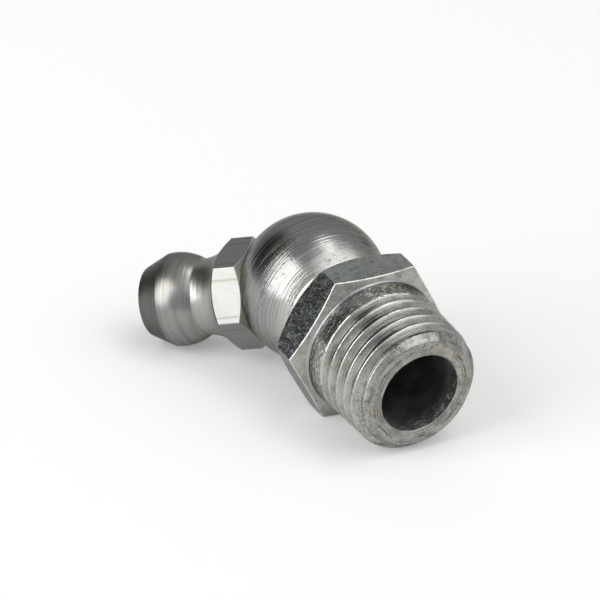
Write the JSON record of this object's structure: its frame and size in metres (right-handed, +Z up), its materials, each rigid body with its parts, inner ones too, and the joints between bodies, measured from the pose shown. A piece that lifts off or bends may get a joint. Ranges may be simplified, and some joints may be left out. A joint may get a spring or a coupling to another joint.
{
  "type": "angled grease nipple",
  "caption": "Elbow grease nipple at 45 degrees: tapered male thread, hexagon collar, ball, and a straight nipple head with a sprung ball valve.",
  "frame": {"origin": "middle of the base of the box round the part, on the table that it lies on", "axes": "+Z up; the thread points towards -Y and dips about 6 degrees to the table; the head leans back to +Y and -X"},
  "size_m": [0.0162, 0.0266, 0.0117],
  "materials": {
    "elbow_body": "zinc plated turned steel, fine tool marks",
    "nipple_head": "zinc plated turned steel, satin",
    "check_ball": "polished hardened steel",
    "valve_spring": "bright drawn spring wire"
  },
  "bodies": {
    "fitting": {"elbow_body": "elbow_body", "nipple_head": "nipple_head", "valve_spring": "valve_spring"},
    "check_valve": {"check_ball": "check_ball"}
  },
  "joints": [
    {"name": "ball_lift", "type": "slide", "parent": "fitting", "child": "check_valve", "axis": [0.6124, -0.7396, 0.2792], "range_m": [0, 0.0008], "stiffness_N_per_m": 600, "deforming": ["valve_spring"]}
  ]
}
